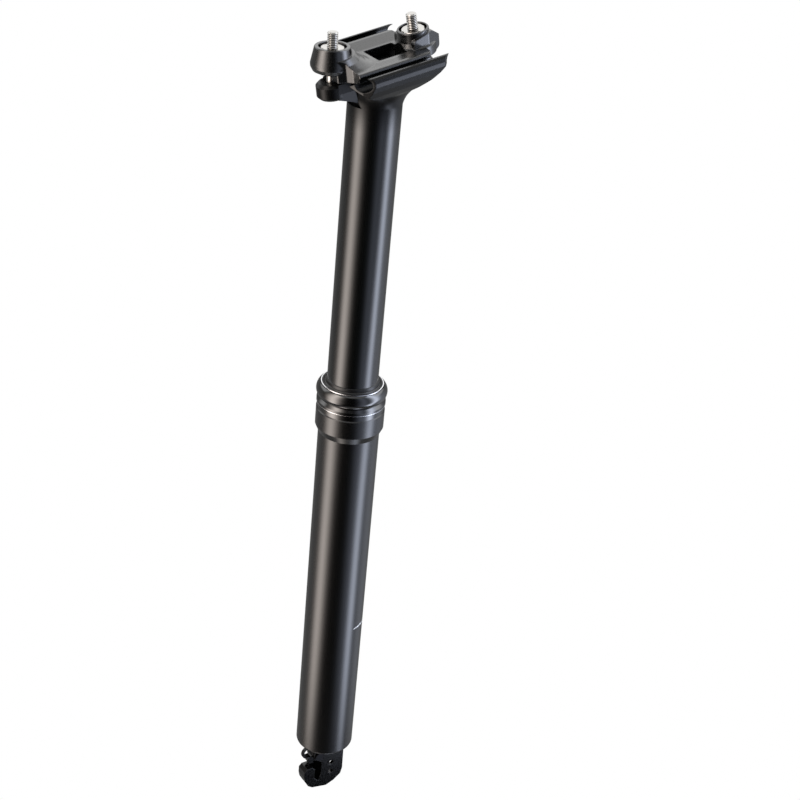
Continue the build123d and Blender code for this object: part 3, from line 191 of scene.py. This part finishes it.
def tube_material():
    """Satin anodised tube with the white line painted on it."""
    material, tree, shader, place = anodised("tube_satin_anodised", "070707", (0.20, 0.27), 0.35, 0.003)
    split = add_node(tree, "ShaderNodeSeparateXYZ", Vector=place)
    angle = math(tree, "ARCTAN2", split.outputs["Y"], split.outputs["X"])
    arc = band(tree, angle, (LINE_FROM + LINE_TO) / 2, LINE_TO - LINE_FROM, LINE_END_FADE)
    line = band(tree, split.outputs["Z"], 0.0, LINE_WIDTH_MM, LINE_FADE_MM)
    paint = add_node(tree, "ShaderNodeBsdfPrincipled", **{"Base__Color": linear("e8e8e6"), "Roughness": 0.5})
    overlaid(tree, math(tree, "MULTIPLY", arc, line), shader, paint)
    return material


black_tube = tube_material()
print("tube line from", round(LINE_FROM, 3), "to", round(LINE_TO, 3), "radians")

# %% [markdown]
# ## The inner post and the bracket
# The inner post was honed smooth, with a grain drawn out along it. Its head above the neck was left blasted.
# The bracket at the foot is a gloss plate, and its broken edges catch the light as thin lines.

# %% Post and bracket materials
HEAD_FOOT_MM = 287
HEAD_BLEND_MM = 6
BLASTED_INDEX = 1.3


def post_material():
    """Honed gloss anodised post, whose forged head was left blasted and is the duller part."""
    material, tree, shader, place = anodised("post_gloss_anodised", "060707", (0.17, 0.22), 0.5, 0.001,
                                             stretch=(1, 1, 12))
    height = add_node(tree, "ShaderNodeSeparateXYZ", Vector=place).outputs["Z"]
    head = math(tree, "SUBTRACT", 1.0, below(tree, height, HEAD_FOOT_MM, HEAD_BLEND_MM))
    blasted = add_node(tree, "ShaderNodeBsdfPrincipled", **{"Base__Color": linear("060606"), "Roughness": 0.3,
                                                            "IOR": BLASTED_INDEX})
    overlaid(tree, head, shader, blasted)
    return material


black_post = post_material()
black_bracket = anodised("bracket_gloss_anodised", "060606", (0.08, 0.14), 0.3, 0.002, index=1.5,
                         edge_mm=0.35)[0]
print("the post's head begins at", HEAD_FOOT_MM, "mm")

# %% [markdown]
# ## The collar
# The collar is turned on a lathe from bar and anodised gloss black, so it carries very fine rings. Two of its
# edges were turned bright after the dyeing, and show as thin bright lines.

# %% Collar material
COLLAR_FOOT_MM = 131.4
# Each bare edge is a height above the collar's foot and a width, in millimetres.
BARE_EDGES = ((3.2, 0.25), (14.1, 0.42))
BARE_FADE_MM = 0.04
RING_PITCH_MM = 0.32


def turned_rings(tree, place):
    """Fine rings round the post's axis, as a lathe leaves them; returns them with the height."""
    height = add_node(tree, "ShaderNodeSeparateXYZ", Vector=place).outputs["Z"]
    wave = math(tree, "SINE", math(tree, "MULTIPLY", height, 2 * pi / RING_PITCH_MM))
    return math(tree, "MULTIPLY_ADD", wave, 0.5, 0.5), height


def collar_material():
    """Gloss anodised turning with a lathe's fine rings and two bare edges."""
    material, tree, shader, place = anodised("collar_turned_anodised", "060606", (0.08, 0.13), 0.4, 0.0008,
                                             index=1.95)
    rings, height = turned_rings(tree, place)
    bump = next(n for n in tree.nodes if n.type == "BUMP")
    tree.links.new(rings, bump.inputs["Height"])
    bright = [band(tree, height, COLLAR_FOOT_MM + middle, width, BARE_FADE_MM)
              for middle, width in BARE_EDGES]
    bare = add_node(tree, "ShaderNodeBsdfPrincipled", **{"Base__Color": linear("dcdcde"), "Metallic": 1.0,
                                                         "Roughness": 0.28})
    overlaid(tree, math(tree, "MAXIMUM", *bright), shader, bare)
    return material


black_collar = collar_material()
print("bare edges:", len(BARE_EDGES))

# %% [markdown]
# ## The forged clamp
# The plate and the cradle are forged and finished in a gloss black that flows a little, so highlights are
# broad and slightly wavy and every edge is soft. The bevel node gives the soft edge without changing the
# mesh. The plate has the harder gloss, and the cradle below it mirrors less.

# %% Forged black materials
FORGED_ROUGH = (0.18, 0.28)
FORGED_GRAIN_MM = 0.6
FORGED_DEPTH_MM = 0.004
FORGED_EDGE_MM = 0.6


def forged(name, colour, index):
    """Gloss black forging with a soft skin."""
    return anodised(name, colour, FORGED_ROUGH, FORGED_GRAIN_MM, FORGED_DEPTH_MM, index=index,
                    edge_mm=FORGED_EDGE_MM)[0]


black_plate = forged("clamp_plate_gloss_black", "070808", 1.85)
black_cradle = forged("cradle_forged_black", "060707", 1.42)
print("forged edges:", FORGED_EDGE_MM, "mm")

# %% [markdown]
# ## Bright metals
# The bolts and nuts are stainless steel, turned and lightly polished: bright, with a soft brushed grain. The
# rod is hard chromed. The pieces inside are plain machined aluminium and brass.

# %% Bright metals
BRUSHED_DEPTH_MM = 0.003


def bright_metal(name, colour, rough, grain_mm, stretch=(1, 1, 1), edge_mm=0.15):
    """Bare metal with a fine machined grain."""
    material, tree, shader, place = new_material(name)
    shader.inputs["Metallic"].default_value = 1.0
    shader.inputs["Base Color"].default_value = linear(colour)
    fine = grain(tree, place, grain_mm, stretch)
    rough_and_bump(tree, shader, fine.outputs["Fac"], rough, BRUSHED_DEPTH_MM, rounded_edges(tree, edge_mm))
    return material


nut_steel = bright_metal("nut_stainless_steel", "bfbdb9", (0.18, 0.30), 0.25, (3, 3, 1))
black_steel = bright_metal("pivot_black_oxide_steel", "1c1c1e", (0.3, 0.4), 0.3)
plated_steel = bright_metal("plated_steel", "c3c4c6", (0.28, 0.4), 0.3)
chrome = bright_metal("rod_hard_chrome", "d9dadc", (0.06, 0.1), 0.4, (1, 1, 20))
machined = bright_metal("machined_aluminium", "d5d6d8", (0.22, 0.34), 0.3, (6, 6, 1))
brass = bright_metal("machined_brass", "d8b36a", (0.2, 0.32), 0.3, (6, 6, 1))
print("bare metals made")

# %% [markdown]
# ## The clamp bolts
# A bolt's thread roots and the socket in its head get painted shade: a dark colour where little light would
# reach. Both lie near the bolt's own axis, so the distance from the axis tells them from the bright crests.
# The mask of painted shade ends where the thread does.

# %% Bolt materials
NUT_TOPS = {"front": ((24.859, 0, 320.253), (0.043619, 0, 0.999048)),
            "rear": ((-17.432, 0, 325.418), (0.241922, 0, 0.970296))}
THREAD_END_MM = 6.5
THREAD_END_FADE_MM = 0.05
ROOT_RADIUS_MM = 2.30
ROOT_FADE_MM = 0.08
BOLT_COLOUR = "bab8b4"
# Colour of the painted shade in the thread roots and the socket.
ROOT_SHADE_COLOUR = "0d0c0c"


def vector_math(tree, operation, one, other):
    """One arithmetic node on two vectors."""
    return add_node(tree, "ShaderNodeVectorMath", {"operation": operation}, _0=one, _1=other)


def bolt_material(which):
    """Steel whose thread roots and hexagon socket are painted dark as shade; the roots lie near the bolt's
    axis.
    """
    material = bright_metal(f"bolt_stainless_steel_{which}", BOLT_COLOUR, (0.16, 0.28), 0.25, (3, 3, 1), 0.05)
    tree = material.node_tree
    shader = next(n for n in tree.nodes if n.type == "BSDF_PRINCIPLED")
    place = next(n for n in tree.nodes if n.type == "VECT_MATH").outputs["Vector"]
    point, axis = NUT_TOPS[which]
    arm = vector_math(tree, "SUBTRACT", place, point).outputs["Vector"]
    along = vector_math(tree, "DOT_PRODUCT", arm, axis).outputs["Value"]
    off = vector_math(tree, "CROSS_PRODUCT", arm, axis).outputs["Vector"]
    radius = add_node(tree, "ShaderNodeVectorMath", {"operation": "LENGTH"}, _0=off).outputs["Value"]
    # Painted shade: 1 in the thread roots and the socket, where a dark colour stands in for shade.
    root_shade = math(tree, "MULTIPLY", below(tree, radius, ROOT_RADIUS_MM, ROOT_FADE_MM),
                below(tree, along, THREAD_END_MM, THREAD_END_FADE_MM))
    tree.links.new(mixed_colour(tree, root_shade, BOLT_COLOUR, linear(ROOT_SHADE_COLOUR)), shader.inputs["Base Color"])
    return material


front_bolt_steel = bolt_material("front")
rear_bolt_steel = bolt_material("rear")
print("thread roots lie within", ROOT_RADIUS_MM, "mm of the axis")

# %% [markdown]
# ## Rubber, foam and bushing plastic
# Rubber is dark grey and dull, with the fine dimples of a moulded skin. The foam ring is open and coarse. The
# bushings are a filled plastic with a dull, slightly mottled face.

# %% Soft and dull materials
POLYMER_INDEX = 1.52
GRAIN_BRIGHTER = 1.5


def dull(name, colour, rough, grain_mm, depth_mm):
    """Non-metal with a moulded or open surface."""
    material, tree, shader, place = new_material(name)
    fine = grain(tree, place, grain_mm)
    skin = mixed_colour(tree, fine.outputs["Fac"], colour, brighter(colour, GRAIN_BRIGHTER))
    tree.links.new(skin, shader.inputs["Base Color"])
    shader.inputs["IOR"].default_value = POLYMER_INDEX
    rough_and_bump(tree, shader, fine.outputs["Fac"], rough, depth_mm)
    return material


wiper_rubber = dull("wiper_rubber", "0c0c0d", (0.26, 0.36), 0.25, 0.01)
seal_rubber = dull("seal_rubber", "161616", (0.45, 0.6), 0.3, 0.008)
foam = dull("oil_foam", "3a3a3a", (0.85, 1.0), 0.5, 0.2)
bushing = dull("bushing_plastic", "232323", (0.4, 0.5), 0.4, 0.006)
print("dull materials made")

# %% [markdown]
# ## Dressing every node
# Each CAD node is in the shape it should have, so it keeps its mesh and gets the material of the real piece.

# %% Assign the materials
FINISHES = {
    black_tube: ("outer_tube",),
    black_post: ("stanchion",),
    black_collar: ("collar",),
    black_bracket: ("release_bracket", "cam_lever"),
    black_plate: ("upper_clamp",),
    black_cradle: ("lower_cradle",),
    front_bolt_steel: ("front_bolt",),
    rear_bolt_steel: ("rear_bolt",),
    nut_steel: ("front_nut", "rear_nut"),
    black_steel: ("pivot_pin",),
    plated_steel: ("pivot_clip", "front_washer", "rear_washer", "backup_ring", "release_pin"),
    chrome: ("rod",),
    machined: ("piston", "cartridge_cylinder", "end_cap", "gland", "cartridge_retainer", "floating_piston"),
    brass: ("guide_keys", "gas_valve"),
    wiper_rubber: ("wiper_seal",),
    seal_rubber: ("collar_o_ring", "plug_o_ring", "piston_seal", "rod_seal", "floating_seal",
                  "top_out_bumper"),
    foam: ("foam_ring",),
    bushing: ("upper_bushing", "lower_bushing", "valve_poppet"),
}


def dress(node, material):
    """Gives a node one material on all its faces."""
    for slot in nodes[node].material_slots:
        slot.material = material


for material, names in FINISHES.items():
    for name in names:
        dress(name, material)
print("dressed:", sum(len(names) for names in FINISHES.values()), "of", len(nodes))

# %% [markdown]
# ## The camera
# The camera's place was worked out from the edges of the two tubes, the collar's ellipses and the clamp's
# square window. It stands to the front left of the post, well above it, and is rolled by a few degrees.

# %% Camera
CAMERA_TURN = radians(147)
CAMERA_DISTANCE = 0.7377121
CAMERA_ABOVE_FOOT = 0.6198429
LINE_ABOVE_FOOT = 0.085
CAMERA_HEIGHT = CAMERA_ABOVE_FOOT - LINE_ABOVE_FOOT
CAMERA_YAW = radians(1.9278)
CAMERA_DROP = radians(28.3358)
CAMERA_ROLL = radians(5.5002)
FOCAL_PIXELS = 1650
IMAGE_PIXELS = 800
SENSOR_MM = 36
NEAR_CLIP = 0.01


def camera_matrix():
    """Place and turn of the camera from its distance, height and three angles."""
    sight = Vector((sin(CAMERA_YAW) * cos(CAMERA_DROP), cos(CAMERA_YAW) * cos(CAMERA_DROP),
                    -sin(CAMERA_DROP)))
    level = Vector((cos(CAMERA_YAW), -sin(CAMERA_YAW), 0))
    upward = level.cross(sight)
    right = cos(CAMERA_ROLL) * level + sin(CAMERA_ROLL) * upward
    up = cos(CAMERA_ROLL) * upward - sin(CAMERA_ROLL) * level
    turn = Matrix((right, up, -sight)).transposed().to_4x4()
    turn.translation = Vector((0, -CAMERA_DISTANCE, CAMERA_HEIGHT))
    return Matrix.Rotation(CAMERA_TURN, 4, "Z") @ turn


camera_data = bpy.data.cameras.new("camera")
camera_data.sensor_width = SENSOR_MM
camera_data.lens = FOCAL_PIXELS / IMAGE_PIXELS * SENSOR_MM
camera_data.clip_start = NEAR_CLIP
camera = bpy.data.objects.new("camera", camera_data)
camera.matrix_world = camera_matrix()
bpy.context.scene.collection.objects.link(camera)
bpy.context.scene.camera = camera
print("camera at", [round(c, 4) for c in camera.matrix_world.translation])

# %% [markdown]
# ## A white studio
# Black metal shows only what it mirrors. So the post stands in a light tent: a tall round wall that the
# camera sees as plain white. The metal mirrors two strong, soft lobes of light on it to the left and right,
# and two faint ones on both sides of the right one. Behind the camera the wall is dark, and beyond the post
# it is dim, and brighter high up. Angles round the wall count from the camera's side and are positive towards
# the right of the image. Each lobe leans sideways with height and fades out above the floor. The floor lies
# far below, because the camera looks down and the post mirrors what is low. It is dim too, with the lobes'
# glow round the post.
#
# A lobe is a centre and a lean in degrees, a width in degrees, a strength and a colour.

# %% Places and helpers of the studio
WALL_RADIUS = 1.0
WALL_LOW = -1.1
WALL_TOP = 1.6
WALL_SIDES = 96
FLOOR_SIZE = 40.0
LOBES = ((-64, 7, 20, 4.7, "fff4ec"), (69, 13, 14, 5.2, "e4ecff"), (42, 0, 16, 0.6, "dfe8ff"),
         (112, -6, 24, 0.55, "e4ecff"))
BACK_FROM = radians(88)
BACK_FULL = radians(104)
UPPER_FROM = 0.35
UPPER_FULL = 0.60
LEAN_LOW = -0.60
LEAN_HIGH = -0.10
FADE_LOW = -0.94
FADE_HIGH = -0.84
BACK_LIGHT = 0.24
UPPER_BACK_LIGHT = 1.25
FLOOR_LIGHT = 0.22
FLOOR_GLOW = 0.6
GLOW_FULL = 0.30
GLOW_END = 0.55
ROOM_LIGHT = 0.6

camera_spot = camera.matrix_world.translation
camera_turn = atan2(camera_spot.y, camera_spot.x)


def bell(tree, angle, centre_deg, width_deg):
    """A smooth hump of height 1 round an angle."""
    off = math(tree, "SUBTRACT", angle, radians(centre_deg))
    step = math(tree, "DIVIDE", off, radians(width_deg))
    return math(tree, "EXPONENT", math(tree, "MULTIPLY", math(tree, "MULTIPLY", step, step), -1.0))


def ramp(tree, value, low, high, top):
    """Rises smoothly from 0 at low to top at high."""
    node = add_node(tree, "ShaderNodeMapRange", {"interpolation_type": "SMOOTHSTEP"}, Value=value,
                    **{"From__Min": low, "From__Max": high, "To__Min": 0.0, "To__Max": top})
    return node.outputs["Result"]


print("the camera's side of the wall is at", round(camera_turn, 3), "radians")

# %% [markdown]
# ## The light on the wall and the floor
# Each surface is an emitter whose strength is a sum: plain light where the post needs some, and the lobes. A
# ray from the camera meets plain white in its place, so the background is white and no light is added for it.

# %% Wall and floor materials
def seen_white(tree, lit):
    """White for the camera, and the given shader for every other ray."""
    path = add_node(tree, "ShaderNodeLightPath")
    white = add_node(tree, "ShaderNodeEmission", Strength=1.0, Color=(1, 1, 1, 1))
    seen = path.outputs["Is Camera Ray"]
    return add_node(tree, "ShaderNodeMixShader", _0=seen, _1=lit, _2=white.outputs[0]).outputs[0]


def stage_material(name):
    """An empty material for the studio, with its output node."""
    material = bpy.data.materials.new(name)
    material.use_nodes = True
    tree = material.node_tree
    tree.nodes.clear()
    return material, tree, add_node(tree, "ShaderNodeOutputMaterial").inputs["Surface"]


def with_lobes(tree, light, angle, lean, kept):
    """Adds the lobes to a light. Each leans by its own angle times lean, and glows as much as kept says."""
    for centre, sideways, width, strength, colour in LOBES:
        leaned = math(tree, "MULTIPLY_ADD", lean, -radians(sideways), angle)
        hump = math(tree, "MULTIPLY", bell(tree, leaned, centre, width), strength)
        strong = math(tree, "MULTIPLY", hump, kept)
        lobe = add_node(tree, "ShaderNodeEmission", Color=linear(colour), Strength=strong)
        light = add_node(tree, "ShaderNodeAddShader", _0=light, _1=lobe.outputs[0]).outputs[0]
    return light


def around(tree):
    """Place on the stage turned so that the camera's side is at angle 0: its X, Y and Z, and the angle."""
    place = add_node(tree, "ShaderNodeTexCoord").outputs["Object"]
    turned = add_node(tree, "ShaderNodeMapping", Vector=place, Rotation=(0, 0, -camera_turn))
    split = add_node(tree, "ShaderNodeSeparateXYZ", Vector=turned.outputs["Vector"]).outputs
    return split, math(tree, "ARCTAN2", split["Y"], split["X"])


def wall_material():
    """Soft light that changes round the wall and with height."""
    material, tree, surface = stage_material("studio_wall")
    split, angle = around(tree)
    behind = ramp(tree, math(tree, "ABSOLUTE", angle), BACK_FROM, BACK_FULL, 1.0)
    upper = ramp(tree, split["Z"], UPPER_FROM, UPPER_FULL, UPPER_BACK_LIGHT)
    plain = math(tree, "MULTIPLY", behind, math(tree, "ADD", upper, BACK_LIGHT))
    light = add_node(tree, "ShaderNodeEmission", Strength=plain).outputs[0]
    lean = ramp(tree, split["Z"], LEAN_LOW, LEAN_HIGH, 1.0)
    kept = ramp(tree, split["Z"], FADE_LOW, FADE_HIGH, 1.0)
    tree.links.new(seen_white(tree, with_lobes(tree, light, angle, lean, kept)), surface)
    return material


def floor_material():
    """Pale paper, lit dimly, with the lobes' glow only near the post, where its tapers mirror it."""
    material, tree, surface = stage_material("studio_paper")
    split, angle = around(tree)
    square = math(tree, "ADD", math(tree, "MULTIPLY", split["X"], split["X"]),
                  math(tree, "MULTIPLY", split["Y"], split["Y"]))
    far = ramp(tree, math(tree, "SQRT", square), GLOW_FULL, GLOW_END, FLOOR_GLOW)
    light = add_node(tree, "ShaderNodeEmission", Color=linear("f8f8f7"), Strength=FLOOR_LIGHT).outputs[0]
    glow = with_lobes(tree, light, angle, 0.0, math(tree, "SUBTRACT", FLOOR_GLOW, far))
    tree.links.new(seen_white(tree, glow), surface)
    return material


print("lobes:", len(LOBES))

# %% [markdown]
# ## Building the studio
# The wall is an open cylinder about the post's axis, one metre away, and the floor a square sheet below it.
# What shines in over the wall's top is the world's plain light.

# %% The wall, the floor and the room
def stage_object(name, points, faces, material):
    """A mesh of the studio with its material, linked into the scene."""
    mesh = bpy.data.meshes.new(name)
    mesh.from_pydata(points, [], faces)
    mesh.materials.append(material)
    piece = bpy.data.objects.new(name, mesh)
    bpy.context.scene.collection.objects.link(piece)


def studio_wall():
    """Open round wall about the post's axis."""
    ring = [(WALL_RADIUS * cos(2 * pi * i / WALL_SIDES), WALL_RADIUS * sin(2 * pi * i / WALL_SIDES))
            for i in range(WALL_SIDES)]
    points = [(x, y, z) for z in (WALL_LOW, WALL_TOP) for x, y in ring]
    faces = [(i, (i + 1) % WALL_SIDES, WALL_SIDES + (i + 1) % WALL_SIDES, WALL_SIDES + i)
             for i in range(WALL_SIDES)]
    stage_object("studio_wall", points, faces, wall_material())


def studio_floor():
    """One flat sheet below the post."""
    half = FLOOR_SIZE / 2
    corners = [(x, y, WALL_LOW) for x, y in ((-half, -half), (half, -half), (half, half), (-half, half))]
    stage_object("floor", corners, [(0, 1, 2, 3)], floor_material())


def studio_world():
    """The open top of the tent: white for the camera, soft light for the rest."""
    world = bpy.data.worlds.new("studio")
    world.use_nodes = True
    tree = world.node_tree
    tree.nodes.clear()
    path = add_node(tree, "ShaderNodeLightPath")
    room = add_node(tree, "ShaderNodeBackground", Strength=ROOM_LIGHT, Color=(1, 1, 1, 1))
    white = add_node(tree, "ShaderNodeBackground", Strength=1.0, Color=(1, 1, 1, 1))
    mixed = add_node(tree, "ShaderNodeMixShader", _0=path.outputs["Is Camera Ray"], _1=room.outputs[0],
                     _2=white.outputs[0])
    output = add_node(tree, "ShaderNodeOutputWorld")
    tree.links.new(mixed.outputs[0], output.inputs["Surface"])
    bpy.context.scene.world = world


studio_wall()
studio_floor()
studio_world()
bpy.context.scene.view_settings.view_transform = "Standard"
print("studio built:", WALL_TOP - WALL_LOW, "m tall")
